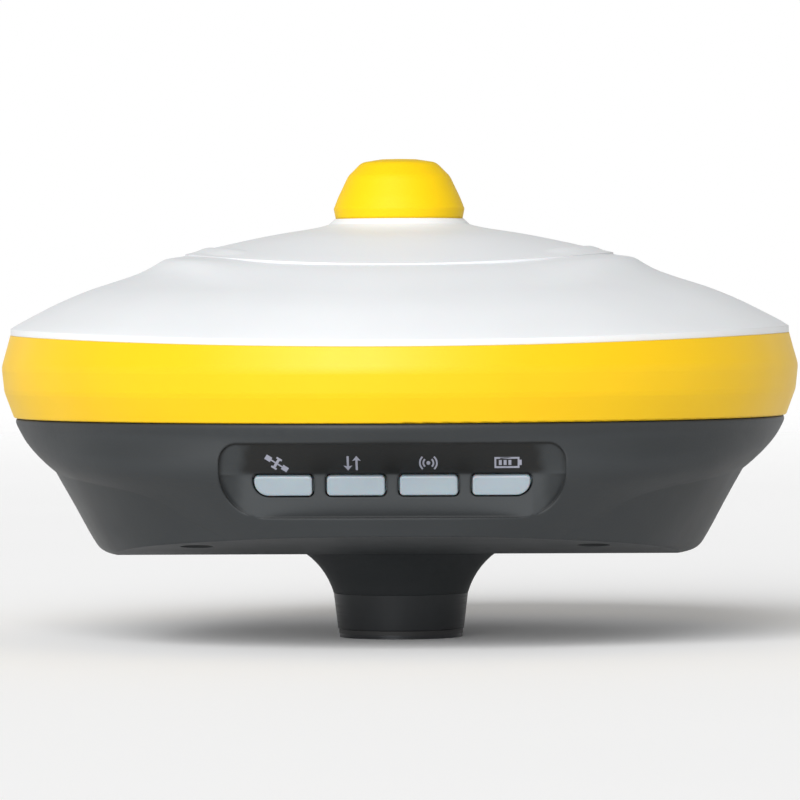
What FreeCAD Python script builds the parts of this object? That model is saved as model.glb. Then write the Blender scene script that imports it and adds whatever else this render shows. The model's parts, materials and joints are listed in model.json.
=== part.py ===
"""GNSS receiver: a saucer-shaped survey antenna and receiver for the top of a pole.

Frame: millimetres, +Z up, the origin at the middle of the neck's bottom face (the antenna
reference point), the key panel faces -Y, +X is to the right of someone who reads the keys.
"""
import FreeCAD, Part
import math
import os
import re

import Sketcher
from FreeCAD import Placement, Rotation, Vector

doc = FreeCAD.newDocument("gnss_receiver")

# --------------------------------------------------------------------------- dimensions
DIMS = {
    # neck and pole thread (5/8 inch, 11 threads per inch)
    "thread_r": 7.94, "thread_depth": 19.0, "insert_r": 10.8, "insert_top": 28.0,
    "flange_r": 12.2, "flange_top": 0.8, "washer_r": 12.3, "washer_top": 1.6,
    "collar_foot_r": 12.5, "collar_r": 13.35, "collar_top": 8.7, "neck_bore": 10.85,
    "flare_round": 14.8, "flare_r": 20.5, "boss_r": 16.0,
    "boss_top": 22.4, "nut_top": 26.4, "nut_r": 15.5,
    # lower housing
    "base_z": 17.5, "floor_z": 21.5, "rim_z": 43.9, "lip_top": 46.2, "lip_r": 73.9,
    "lip_inner_r": 71.5, "wall": 2.3, "front_slope": 0.5225, "front_top": 75.3,
    "front_top_z": 40.2, "pod_inset": 3.0, "relief_start": 27.0, "relief_lead": 6.0,
    "relief_end": 90.0, "relief_half": 85.0, "relief_rise": 7.8, "relief_low": 5.0,
    "relief_floor": 3.0,
    # screws that close the case
    "case_screw_x": 38.0, "case_screw_y": 46.0, "column_r": 4.2, "post_r": 4.0,
    "case_hole_r": 1.7, "post_hole_r": 1.55, "case_screw_r": 1.5, "case_head_r": 2.75,
    "sink_r": 3.2, "sink_top": 23.0, "case_head_low": 20.8, "case_screw_top": 56.0,
    "post_low": 46.4, "post_hole_top": 57.0, "column_top": 46.0,
    # bumper band and radome
    "band_inner_r": 74.2, "band_foot_r": 76.6, "band_low_r": 78.5, "band_low_z": 49.1,
    "band_wide_r": 79.0, "band_wide_z": 53.9, "band_top_r": 77.2, "band_top_z": 60.4,
    "parting_side_z": 60.2, "parting_front_z": 58.3,
    "skirt_r": 74.0, "skirt_inner_r": 71.6, "skirt_low": 47.2, "radome_wall": 2.7,
    "seal_inner_r": 71.8, "seal_r": 73.7, "crown_r": 42.5,
    "crown_boss_r": 14.0, "crown_boss_top_r": 12.8, "crown_boss_low": 81.9,
    "crown_boss_top": 83.0, "crown_ceiling": 78.9, "crown_ceiling_r": 14.0,
    # front key panel, tilted so that it faces a little downwards
    "tray_half": 32.7, "tray_low": 25.9, "tray_top": 40.1, "tray_top_round": 3.5,
    "tray_low_round": 8.6, "tray_flat": 26.4, "tray_foot_y": 65.0, "tray_foot_z": 26.0,
    "tray_key_y": 67.0, "tray_key_z": 34.2, "key_z": 32.1, "key_pitch": 13.7,
    "key_width": 10.9, "key_height": 3.8, "key_gap": 0.38, "key_proud": 0.7,
    "key_corner": 0.75, "key_end_corner": 2.8, "key_flange": 0.7, "key_flange_low": 2.4,
    "key_flange_top": 3.2, "panel_seal_top": 3.3, "switch_tip": 3.9,
    "switch_low": 4.3, "key_board_low": 6.2, "key_board_top": 7.4, "key_board_half": 33.4,
    "key_board_reach": 4.4, "key_screw_x": 30.8, "key_post_r": 2.2, "key_screw_r": 0.9,
    # rear connector pocket
    "pocket_half": 24.0, "pocket_low": 25.4, "pocket_top": 38.4, "pocket_y": 64.5,
    "pocket_round": 5.0, "port_x": 12.0, "port_z": 31.9, "port_hole_r": 4.6, "port_r": 4.5,
    "port_flange_r": 5.3, "port_flange_y": 65.7, "port_inner_y": 56.0, "socket_r": 3.9,
    "port_disc_r": 3.5, "socket_y": 60.2, "port_pin_r": 0.42, "port_pin_ring": 2.3, "port_nut_r": 6.4,
    "port_nut_depth": 3.0, "port_cap_r": 6.1, "port_cap_y": 67.2, "port_tab": 8.0,
    "vent_r": 2.6, "vent_hole_r": 1.5, "vent_y": 65.3,
    # battery bays, doors and latches, for the right side
    "bay_near": 25.4, "bay_far": 49.4, "bay_half": 24.4, "bay_top": 38.1, "bay_skin": 1.4,
    "battery_near": 25.8, "battery_far": 49.0, "battery_half": 24.0, "battery_top": 37.5,
    "recess_near": 24.4, "recess_far": 51.5, "recess_half": 26.6, "recess_top": 20.3,
    "door_near": 24.8, "door_far": 51.2, "door_half": 26.3, "door_top": 19.5,
    "door_corner": 5.0, "hinge_x": 22.6, "hinge_z": 18.75, "barrel_r": 1.25,
    "barrel_half": 18.2, "slot_near": 21.0, "slot_half": 18.4, "slot_top": 20.5,
    "hinge_bore": 0.65, "hinge_pin_r": 0.6, "hinge_pin_half": 21.0,
    "gasket_top": 20.25, "gasket_half": 25.8, "gasket_far": 50.6, "gasket_width": 1.1,
    "latch_near": 44.6, "latch_far": 50.0, "latch_half": 5.6, "latch_grip_half": 4.6,
    "latch_low": 17.3, "latch_step": 18.15, "latch_top": 18.85, "latch_room": 42.0,
    "latch_play": 0.1, "tongue_far": 51.35, "tongue_half": 3.0, "keeper_far": 52.8,
    # electronics inside
    "board_r": 49.0, "board_low": 40.0, "board_top": 41.6, "pillar_x": 12.0,
    "pillar_y": 32.0, "pillar_r": 3.0, "board_screw_r": 1.1, "board_head_r": 2.2,
    "board_head_top": 43.2, "board_screw_low": 33.0,
    "standoff_at": 28.0, "standoff_r": 2.5, "plane_low": 55.0, "plane_top": 56.6,
    "plane_r": 48.0, "patch_low_half": 23.0, "patch_low_top": 60.6, "patch_up_half": 14.0,
    "patch_up_top": 64.6, "can_x": 20.0, "can_y": 15.0, "can_low": 51.0,
    "antenna_screw_r": 1.2, "antenna_head_top": 58.2, "antenna_screw_low": 50.0,
    "feed_hole_r": 2.0, "coax_r": 1.3, "coax_top": 78.0,
    "radio_x": 12.0, "radio_y": 9.0, "radio_top": 47.0, "module_x": 15.0,
    "module_near": 12.0, "module_far": 27.0, "module_top": 45.6,
    "contact_r": 0.8, "contact_x": 31.0, "contact_pitch": 6.0,
    # antenna jack under the cap on the crown
    "jack_flange_r": 9.0, "jack_flange_top": 86.0, "jack_r": 5.5, "jack_top": 92.0,
    "jack_stem_r": 4.9, "jack_hole_r": 5.0, "jack_stem_low": 75.0, "jack_bore_r": 4.0,
    "jack_bore_low": 79.0, "jack_insulator_top": 88.0, "jack_contact_r": 0.9,
    "jack_contact_top": 91.0, "jack_nut_low": 76.4, "jack_nut_r": 8.5,
    "cap_foot_r": 12.6, "cap_lip_r": 13.0, "cap_lip_z": 85.0, "cap_side_r": 12.1,
    "cap_side_z": 87.3, "cap_shoulder_r": 10.1, "cap_shoulder_z": 91.5,
    "cap_crown_r": 7.4, "cap_crown_z": 94.2, "cap_flat_r": 3.6, "cap_flat_z": 94.8,
    "cap_top": 94.9, "cap_grip_r": 9.05,
    "cap_grip_top": 86.3, "cap_room_r": 8.0, "cap_room_top": 92.7, "cap_room_top_r": 6.4,
}

sheet = doc.addObject("Spreadsheet::Sheet", "Dims")
for row, (alias, number) in enumerate(DIMS.items(), start=1):
    sheet.set(f"A{row}", alias)
    sheet.set(f"B{row}", str(number))
    sheet.setAlias(f"B{row}", alias)
doc.recompute()


def bound(text):
    """Point each bare dimension name in an expression at the spreadsheet."""
    return re.sub("[a-z_]+", lambda word: "Dims." + word[0] if word[0] in DIMS else word[0], text)


def size(text):
    """The value of an expression that is written with dimension names, in millimetres."""
    return float(sheet.evalExpression(bound(text)))


# --------------------------------------------------------------------------- building blocks
UPRIGHT = Rotation()
ALONG_Y = Rotation(Vector(1, 0, 0), -90)
NODES = []


def node(name, solid):
    """Name a finished sub-part."""
    solid.Label = name
    NODES.append(solid)
    return solid


def box(x, y, z):
    """A block between two planes along each axis; each range is a pair of expressions."""
    block = doc.addObject("Part::Box", "block")
    for axis, side, (low, high) in zip("xyz", ("Length", "Width", "Height"), (x, y, z)):
        block.setExpression(side, bound(f"({high}) - ({low})"))
        block.setExpression(f"Placement.Base.{axis}", bound(low))
    return block


def evenly(half):
    """A range that is centred on zero."""
    return f"-({half})", half


def cylinder(radius, low, high, x="0", y="0", turn=UPRIGHT):
    """A cylinder along Z at (x, y), or along Y at (x, z=y) when turn is ALONG_Y."""
    rod = doc.addObject("Part::Cylinder", "rod")
    rod.Placement = Placement(Vector(), turn)
    rod.setExpression("Radius", bound(radius))
    rod.setExpression("Height", bound(f"({high}) - ({low})"))
    across = ("x", "y", "z") if turn is UPRIGHT else ("x", "z", "y")
    for axis, text in zip(across, (x, y, low)):
        rod.setExpression(f"Placement.Base.{axis}", bound(text))
    return rod


def prism(radius, low, high, x="0", y="0", turn=UPRIGHT):
    """A hexagonal bar, placed like a cylinder; the radius reaches its corners."""
    bar = doc.addObject("Part::Prism", "hexagon")
    bar.Polygon = 6
    bar.Placement = Placement(Vector(), turn)
    bar.setExpression("Circumradius", bound(radius))
    bar.setExpression("Height", bound(f"({high}) - ({low})"))
    across = ("x", "y", "z") if turn is UPRIGHT else ("x", "z", "y")
    for axis, text in zip(across, (x, y, low)):
        bar.setExpression(f"Placement.Base.{axis}", bound(text))
    return bar


def joined(*solids):
    union = doc.addObject("Part::MultiFuse", "union")
    union.Shapes = list(solids)
    union.Refine = False
    return union


def fused(base, tool):
    pair = doc.addObject("Part::Fuse", "pair")
    pair.Base = base
    pair.Tool = tool
    pair.Refine = False
    return pair


def grouped(*solids):
    group = doc.addObject("Part::Compound", "group")
    group.Links = list(solids)
    return group


def shared(*solids):
    overlap = doc.addObject("Part::MultiCommon", "overlap")
    overlap.Shapes = list(solids)
    overlap.Refine = False
    return overlap


def cut(base, *tools):
    difference = doc.addObject("Part::Cut", "difference")
    difference.Base = base
    difference.Tool = tools[0] if len(tools) == 1 else joined(*tools)
    difference.Refine = False
    return difference


def fixed_shape(name, shape):
    """An object for a surface that neither a body nor a primitive can make."""
    feature = doc.addObject("Part::Feature", name)
    feature.Shape = shape
    return feature


def rounded(base, *rounds):
    """Fillet edges of base; each round is a radius expression and a test for its edges."""
    doc.recompute()
    edges = []
    for radius, wanted in rounds:
        value = size(radius)
        edges += [(i, value, value) for i, edge in enumerate(base.Shape.Edges, start=1) if wanted(edge)]
    fillet = doc.addObject("Part::Fillet", "fillet")
    fillet.Base = base
    fillet.Edges = edges
    return fillet


def circle_at(radius, height):
    """A test for the circular edge of a turned piece at a radius and a height."""
    def wanted(edge):
        middle = edge.BoundBox
        return (abs(middle.ZMax - size(height)) < 1e-4 and abs(middle.ZMin - size(height)) < 1e-4
                and abs(middle.XMax - size(radius)) < 1e-3)
    return wanted


def upright_at(x, y=None):
    """A test for the vertical edges at a place; y is left out to take every one at that x."""
    def wanted(edge):
        place = edge.BoundBox
        upright = place.ZLength > 0.1 and place.XLength < 1e-4 and place.YLength < 1e-4
        return upright and abs(place.XMin - x) < 1e-3 and (y is None or abs(place.YMin - y) < 1e-3)
    return wanted


def origin_plane(body, role):
    return [plane for plane in body.Origin.OriginFeatures if plane.Role == role][0]


def new_sketch(body, role, away="0"):
    """A sketch on one of the body's own origin planes, moved along that plane's normal."""
    sketch = body.newObject("Sketcher::SketchObject", "outline")
    sketch.AttachmentSupport = (origin_plane(body, role), [""])
    sketch.MapMode = "FlatFace"
    sketch.setExpression("AttachmentOffset.Base.z", bound(away))
    return sketch


def hold(sketch, kind, *where, text):
    """Add a dimension to a sketch and bind it to the spreadsheet."""
    number = sketch.addConstraint(Sketcher.Constraint(kind, *where, size(text)))
    sketch.setExpression(f"Constraints[{number}]", bound(text))


def polygon(sketch, corners):
    """Draw a closed polygon through corners that are pairs of expressions."""
    places = [Vector(size(x), size(y), 0) for x, y in corners]
    for i, place in enumerate(places):
        sketch.addGeometry(Part.LineSegment(place, places[(i + 1) % len(places)]))
    for i in range(len(places)):
        sketch.addConstraint(Sketcher.Constraint("Coincident", i, 2, (i + 1) % len(places), 1))
    for i, (x, y) in enumerate(corners):
        hold(sketch, "DistanceX", i, 1, text=x)
        hold(sketch, "DistanceY", i, 1, text=y)


def rounded_rectangle(sketch, x, y, radii):
    """Draw a rectangle with a radius at each corner: low left, low right, top right, top left."""
    (left, right), (low, top) = x, y
    corners = [(left, low), (right, low), (right, top), (left, top)]
    inward = [(1, 1), (-1, 1), (-1, -1), (1, -1)]
    centres = [Vector(size(u) + size(r) * a, size(v) + size(r) * b, 0)
               for (u, v), (a, b), r in zip(corners, inward, radii)]
    downward = [Vector(0, -1, 0), Vector(1, 0, 0), Vector(0, 1, 0), Vector(-1, 0, 0)]
    for i, centre in enumerate(centres):
        after = (i + 1) % 4
        start = centre + downward[i] * size(radii[i])
        end = centres[after] + downward[i] * size(radii[after])
        sketch.addGeometry(Part.LineSegment(start, end))
    for i, centre in enumerate(centres):
        circle = Part.Circle(centre, Vector(0, 0, 1), size(radii[i]))
        begin = math.radians(180 + 90 * i)
        sketch.addGeometry(Part.ArcOfCircle(circle, begin, begin + math.pi / 2))
    for i in range(4):
        sketch.addConstraint(Sketcher.Constraint("Tangent", i, 1, i + 4, 2))
        sketch.addConstraint(Sketcher.Constraint("Tangent", i, 2, (i + 1) % 4 + 4, 1))
        sketch.addConstraint(Sketcher.Constraint("Horizontal" if i % 2 == 0 else "Vertical", i))
    hold(sketch, "DistanceY", 0, 1, text=low)
    hold(sketch, "DistanceX", 1, 1, text=right)
    hold(sketch, "DistanceY", 2, 1, text=top)
    hold(sketch, "DistanceX", 3, 1, text=left)
    for i in range(4):
        hold(sketch, "Radius", i + 4, text=radii[i])


def turned(corners, x="0", y="0", turn=UPRIGHT):
    """A body turned about Z from an outline of (radius, height) corners, then placed."""
    body = doc.addObject("PartDesign::Body", "turned")
    sketch = new_sketch(body, "XZ_Plane")
    polygon(sketch, corners)
    spin = body.newObject("PartDesign::Revolution", "spin")
    spin.Profile = sketch
    spin.ReferenceAxis = (sketch, ["V_Axis"])
    spin.Angle = 360
    body.Placement = Placement(Vector(size(x), 0, 0), turn)
    across = ("x", "y") if turn is UPRIGHT else ("x", "z")
    for axis, text in zip(across, (x, y)):
        body.setExpression(f"Placement.Base.{axis}", bound(text))
    return body


def plate(x, z, y, radii):
    """A rounded plate in the XZ plane that is y thick; each range is a pair of expressions."""
    body = doc.addObject("PartDesign::Body", "plate")
    sketch = new_sketch(body, "XZ_Plane", away=f"-({y[1]})")
    rounded_rectangle(sketch, x, z, radii)
    pad = body.newObject("PartDesign::Pad", "pad")
    pad.Profile = sketch
    pad.setExpression("Length", bound(f"({y[1]}) - ({y[0]})"))
    return body


def four_corners(x, y):
    """The four places (+-x, +-y) of a rectangular pattern, as expressions."""
    return [(f"{a}({x})", f"{b}({y})") for a in ("", "-") for b in ("", "-")]


# --------------------------------------------------------------------------- the saucer's surfaces
RING_POINTS = 32
SEAM_ANGLE = 90.0


def ring(radius_at, height_at):
    """A closed smooth curve round the axis; angles count from the front towards +X."""
    points = []
    for step in range(RING_POINTS):
        angle = math.radians(SEAM_ANGLE + 360.0 * step / RING_POINTS)
        radius = radius_at(angle)
        height = height_at(angle, radius)
        points.append(Vector(radius * math.sin(angle), -radius * math.cos(angle), height))
    curve = Part.BSplineCurve()
    curve.interpolate(Points=points, PeriodicFlag=True)
    return Part.Wire([curve.toShape()])


def between(table, where):
    """Straight-line interpolation in a table of (position, value) pairs, in rising order."""
    for (x0, y0), (x1, y1) in zip(table, table[1:]):
        if where <= x1:
            return y0 + (y1 - y0) * (where - x0) / (x1 - x0)
    return table[-1][1]


def plan_power(height):
    """How square the housing is in plan: 2 is an ellipse, more has flatter sides."""
    return between([(34.0, 2.7), (41.0, 2.0)], max(height, 34.0))


def plan_radius(angle, front, side, power):
    """The radius of a superellipse that is front deep and side wide."""
    deep = abs(math.cos(angle)) / front
    wide = abs(math.sin(angle)) / side
    return (deep ** power + wide ** power) ** (-1.0 / power)


def bowl_front(height):
    """How far the housing's front face stands from the axis."""
    top, top_z = size("front_top"), size("front_top_z")
    if height <= top_z:
        return top - size("front_slope") * (top_z - height)
    return between([(top_z, top), (41.8, 76.1), (43.4, 76.5), (43.9, 76.0)], height)


# Half-widths of the housing at the sides: the bowl, and the battery pods that stand out of it.
BOWL_SIDE = [(17.5, 48.5), (20.0, 51.0), (24.0, 55.4), (28.0, 60.3), (30.6, 63.8), (33.8, 68.2),
             (37.0, 72.0), (40.2, 74.8), (41.8, 75.7), (43.4, 76.2), (43.9, 75.8)]
POD_SIDE = [(17.5, 56.9), (17.8, 58.2), (18.4, 59.2), (19.5, 60.1), (26.0, 63.7), (33.0, 67.6),
            (40.0, 71.5)]
CAVITY_SIDE = [(21.5, 58.2), (26.0, 60.9), (30.0, 63.2), (34.0, 65.7), (38.0, 69.0), (42.0, 70.6)]
CAVITY_FRONT = [(21.5, 60.2), (26.0, 63.8), (30.0, 66.7), (34.0, 69.2), (38.0, 70.6), (42.0, 70.6)]


def lofted(profile, front_at):
    """A solid through level superellipse rings."""
    rings = []
    for height, side in profile:
        front, power = front_at(height), plan_power(height)
        rings.append(ring(lambda angle: plan_radius(angle, front, side, power),
                          lambda angle, radius: height))
    return Part.makeLoft(rings, True, False)


def cavity_front(height):
    return between(CAVITY_FRONT, height)


def front_face(x, height):
    """The y of the housing's front surface at a place across it."""
    side, power = between(BOWL_SIDE, height), plan_power(height)
    return -bowl_front(height) * (1.0 - (abs(x) / side) ** power) ** (1.0 / power)


# The radome's surface: height = meridian(radius) - dip(radius) * cos(angle)^2, so that it hangs
# lower at the front and the back than at the sides.
MERIDIAN = [(36.0, 74.6), (42.5, 75.2), (47.3, 73.9), (50.7, 72.8), (55.4, 71.2), (59.9, 69.7),
            (64.1, 68.1), (67.8, 66.5), (71.0, 64.9), (74.1, 63.3), (77.2, 61.5), (84.0, 57.0)]
CROWN_MERIDIAN = [(14.0, 81.9), (15.8, 81.4), (22.5, 80.3), (28.0, 79.3), (32.5, 78.35), (35.9, 77.6),
                  (39.7, 76.8), (42.5, 76.15), (46.0, 75.1)]
DIP = [(42.0, 1.4), (77.2, 2.0)]
CROWN_DIP = 2.2
SHOULDER_RISE = 0.85
SHOULDER_START = math.radians(27.0)
SHOULDER_FULL = math.radians(60.0)


def shoulder(angle):
    """0 at the front and the back, 1 along the raised shoulders at the sides, smooth between."""
    off_front = math.asin(abs(math.sin(angle)))
    share = (off_front - SHOULDER_START) / (SHOULDER_FULL - SHOULDER_START)
    share = min(max(share, 0.0), 1.0)
    return share * share * (3.0 - 2.0 * share)


def dome_ring(radius, drop=0.0, spread=0.0, raise_by=0.0):
    """A ring on the radome's main surface; spread widens it where the shoulder fades."""
    def radius_at(angle):
        return radius + spread * (1.0 - shoulder(angle))

    def height_at(angle, reach):
        level = between(MERIDIAN, reach) - between(DIP, reach) * math.cos(angle) ** 2
        return level + raise_by * shoulder(angle) - drop
    return ring(radius_at, height_at)


def flat_ring(radius, height):
    return ring(lambda angle: radius, lambda angle, reach: height)


def dome(drop, with_shoulders):
    """The main surface as a solid that reaches down to a level rim outside the radome."""
    rise = SHOULDER_RISE if with_shoulders else 0.0
    rings = [flat_ring(88.0, 50.0 - drop), dome_ring(84.0, drop)]
    rings += [dome_ring(radius, drop) for radius in (77.2, 74.1, 71.0, 67.8, 64.1, 60.6)]
    rings.append(dome_ring(50.9, drop, spread=6.0))
    rings.append(dome_ring(47.4, drop, spread=4.0, raise_by=rise))
    rings.append(dome_ring(44.6, drop, raise_by=rise))
    rings.append(dome_ring(42.0, drop, raise_by=rise))
    rings.append(flat_ring(36.0, 72.4 - drop))
    return Part.makeLoft(rings, True, False)


def crown(drop, top_radius, top_height):
    """The crown inside the step, as a solid with a level top; below it the main surface takes over."""
    rings = [flat_ring(54.0, 70.5 - drop)]
    for radius, height in reversed(CROWN_MERIDIAN[1:]):
        dip = CROWN_DIP * (radius / size("crown_r")) ** 2
        rings.append(ring(lambda angle: radius,
                          lambda angle, reach: height - drop - dip * math.cos(angle) ** 2))
    rings.append(flat_ring(top_radius, top_height))
    return Part.makeLoft(rings, True, False)


def parting_side(up):
    """Everything above or below the band's top edge, which bows upwards from front to back."""
    reach, end = 95.0, size("parting_front_z")
    middle = size("parting_side_z")
    half = size("band_top_r")
    radius = (half ** 2 + (middle - end) ** 2) / (2.0 * (middle - end))
    at_reach = middle - radius + math.sqrt(radius ** 2 - reach ** 2)
    far = 120.0 if up else 20.0
    left, right = Vector(-reach, -reach, at_reach), Vector(-reach, reach, at_reach)
    bow = Part.Arc(left, Vector(-reach, 0, middle), right).toShape()
    corners = [right, Vector(-reach, reach, far), Vector(-reach, -reach, far), left]
    outline = Part.Wire([bow] + Part.makePolygon(corners).Edges)
    return Part.Face(outline).extrude(Vector(2.0 * reach, 0, 0))


# --------------------------------------------------------------------------- radome and band
def make_radome():
    outer = fixed_shape("dome_outside", dome(0.0, True))
    top = fixed_shape("crown_outside", crown(0.0, size("crown_boss_r"), size("crown_boss_low")))
    room = fixed_shape("dome_inside", dome(size("radome_wall"), False))
    ceiling = fixed_shape("crown_inside",
                          crown(size("radome_wall"), size("crown_ceiling_r"), size("crown_ceiling")))
    below = fixed_shape("below_parting", parting_side(up=False))
    saucer = shared(outer, cylinder("band_top_r", "52", "90"))
    rim_cut = shared(below, cut(cylinder("90", "40", "70"), cylinder("skirt_r", "39", "71")))
    body = joined(cut(saucer, rim_cut), shared(top, cylinder("crown_r", "60", "90")),
                  cylinder("skirt_r", "skirt_low", "56"),
                  turned([("0", "crown_boss_low - 0.5"), ("crown_boss_r", "crown_boss_low - 0.5"),
                          ("crown_boss_r", "crown_boss_low"), ("crown_boss_top_r", "crown_boss_top"),
                          ("0", "crown_boss_top")]))
    posts = [cylinder("post_r", "post_low", "80", x, y)
             for x, y in four_corners("case_screw_x", "case_screw_y")]
    hollow = joined(shared(room, cylinder("skirt_inner_r", "46", "90")),
                    shared(ceiling, cylinder("crown_r - 2.6", "60", "90")),
                    cylinder("skirt_inner_r", "skirt_low - 3", "52"))
    holes = [cylinder("post_hole_r", "post_low - 1", "post_hole_top", x, y)
             for x, y in four_corners("case_screw_x", "case_screw_y")]
    holes.append(cylinder("jack_hole_r", "crown_ceiling - 5", "crown_boss_top + 2"))
    stubs = [shared(cylinder("post_r", "post_low", "skirt_low", x, y),
                    cylinder("skirt_inner_r", "post_low - 1", "skirt_low + 1"))
             for x, y in four_corners("case_screw_x", "case_screw_y")]
    whole = cut(joined(body, *stubs), cut(hollow, *posts), *holes)
    return node("radome", whole)


def make_band():
    section = turned([("band_inner_r", "rim_z"), ("band_foot_r", "rim_z"), ("band_low_r", "band_low_z"),
                      ("band_wide_r", "band_wide_z"), ("band_top_r", "band_top_z"),
                      ("band_inner_r", "band_top_z")])
    soft = rounded(section, ("4", circle_at("band_low_r", "band_low_z")),
                   ("4", circle_at("band_wide_r", "band_wide_z")),
                   ("0.5", circle_at("band_foot_r", "rim_z")))
    above = fixed_shape("above_parting", parting_side(up=True))
    return node("bumper_band", cut(soft, above))


# --------------------------------------------------------------------------- front key panel
def panel_tilt():
    """The key face leans so that it looks a little downwards; this is its angle in degrees."""
    lean = size("tray_key_y - tray_foot_y") / size("tray_key_z - tray_foot_z")
    return math.degrees(math.atan(lean))


def panel_place():
    """Where the key panel's own frame stands: X to the right, Y into the case, Z up the face."""
    rise = size("key_z - tray_foot_z")
    depth = size("tray_foot_y") + rise * math.tan(math.radians(panel_tilt()))
    return Placement(Vector(0, -depth, size("key_z")), Rotation(Vector(1, 0, 0), panel_tilt()))


def on_panel(solid):
    solid.Placement = panel_place()
    return solid


def tray_section(height, back_at, back_end):
    """A level cut of the tray: a back edge across the keys, then slanted ends, open to the front."""
    flat, half = size("tray_flat"), size("tray_half") + 3.0
    places = [Vector(x, back_at(x), height) for x in (-flat, -flat / 2, 0.0, flat / 2, flat)]
    back = Part.BSplineCurve()
    back.interpolate(places)
    far = -95.0
    corners = [places[-1], Vector(half, back_end, height), Vector(half, far, height),
               Vector(-half, far, height), Vector(-half, back_end, height), places[0]]
    return Part.Wire([back.toShape()] + Part.makePolygon(corners).Edges)


def tray_facets(inward):
    """The tray's floor in three flats: the key face, the brow above it and the slanted ends."""
    foot, key = -size("tray_foot_y") + inward, -size("tray_key_y") + inward
    foot_z, key_z, top_z = size("tray_foot_z"), size("tray_key_z"), size("tray_top") + 0.1
    lean = (key - foot) / (key_z - foot_z)
    drop = 4.0
    edge = size("tray_half") + 3.0
    end_low = front_face(edge, foot_z - drop) - 0.2 + inward
    end_key = front_face(edge, key_z) - 0.2 + inward
    end_top = front_face(edge, top_z) - 0.2 + inward
    low = tray_section(foot_z - drop, lambda x: foot - lean * drop, end_low)
    middle = tray_section(key_z, lambda x: key, end_key)
    top = tray_section(top_z, lambda x: front_face(x, top_z) + 0.35 + inward, end_top)
    brow_height = 3.0
    cover = top.copy()
    cover.translate(Vector(0, 0, brow_height))
    pieces = [Part.makeLoft([low, middle], True, True), Part.makeLoft([middle, top], True, True)]
    if inward > 0:
        pieces.append(Part.makeLoft([top, cover], True, True))
    return pieces[0].fuse(pieces[1:])


def make_tray(inward):
    """The tray's space, grown by inward on every side."""
    grow = str(inward)
    radii = [f"tray_low_round + {grow}"] * 2 + [f"tray_top_round + {grow}"] * 2
    outline = plate(evenly(f"tray_half + {grow}"), (f"tray_low - {grow}", f"tray_top + {grow}"),
                    ("-92", "-50"), radii)
    slant = 1.0 / math.cos(math.radians(panel_tilt()))
    return shared(outline, fixed_shape("tray_floor", tray_facets(inward * slant)))


KEY_NAMES = ("key_satellite", "key_data", "key_wireless", "key_battery")


def key_centre(index):
    return f"key_pitch * ({index} - 1.5)"


def key_radii(index, grow="0"):
    """Small corners, but a large one at the outer low corner of the two end keys."""
    small, large = f"key_corner + {grow}", f"key_end_corner + {grow}"
    return [large if index == 0 else small, large if index == 3 else small, small, small]


def key_block(index, grow, depth):
    """A rounded block on a key's outline, grown sideways, between two depths in the panel."""
    middle = key_centre(index)
    across = (f"{middle} - key_width / 2 - ({grow})", f"{middle} + key_width / 2 + ({grow})")
    upward = evenly(f"key_height / 2 + ({grow})")
    return plate(across, upward, depth, key_radii(index, grow))


def key_openings():
    return on_panel(grouped(*[key_block(i, "key_gap", ("-6", "4")) for i in range(4)]))


def make_keys():
    for index, name in enumerate(KEY_NAMES):
        face = key_block(index, "0", ("-key_proud", "key_flange_low + 0.1"))
        front = -size("key_proud")
        softened = rounded(face, ("0.35", lambda edge: edge.BoundBox.YMax < front + 1e-3))
        flange = key_block(index, "key_flange", ("key_flange_low", "key_flange_top"))
        key = node(name, joined(softened, flange))
        on_panel(key)


def make_key_electronics():
    frame = plate(evenly("key_pitch * 2 + 0.6"), evenly("key_height / 2 + 2"),
                  ("key_flange_low - 0.1", "panel_seal_top"), ["1"] * 4)
    windows = [key_block(i, "key_flange + 0.2", ("0", "9")) for i in range(4)]
    on_panel(node("key_seal", cut(frame, *windows)))
    posts = [cylinder("key_screw_r + 0.1", "0", "9", x, "0", ALONG_Y) for x in evenly("key_screw_x")]
    board = box(evenly("key_board_half"), ("key_board_low", "key_board_top"), evenly("key_board_reach"))
    on_panel(node("key_board", cut(board, *posts)))
    switches, lamps = [], []
    for index in range(4):
        middle = key_centre(index)
        body = box((f"{middle} - 2.2", f"{middle} + 2.2"), ("switch_low", "key_board_low"), evenly("1.7"))
        tip = cylinder("0.9", "switch_tip", "switch_low + 0.1", middle, "0", ALONG_Y)
        switches.append(joined(body, tip))
        for side in ("-", "+"):
            spot = f"{middle} {side} 3.8"
            lamps.append(box((f"{spot} - 0.8", f"{spot} + 0.8"), ("key_board_low - 0.7", "key_board_low"),
                             evenly("0.5")))
    on_panel(node("key_switches", grouped(*switches)))
    on_panel(node("key_lamps", grouped(*lamps)))
    screws = []
    for x in evenly("key_screw_x"):
        shank = cylinder("key_screw_r", "key_board_low - 2.6", "key_board_top + 0.1", x, "0", ALONG_Y)
        head = cylinder("key_screw_r + 1", "key_board_top", "key_board_top + 1.3", x, "0", ALONG_Y)
        screws.append(joined(shank, head))
    on_panel(node("key_board_screws", grouped(*screws)))


# --------------------------------------------------------------------------- battery bays
SIDES = {"right": "", "left": "-"}


def sided(side, near, far):
    """A range across X on the right side, or its mirror image on the left."""
    if side == "right":
        return near, far
    return f"-({far})", f"-({near})"


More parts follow.
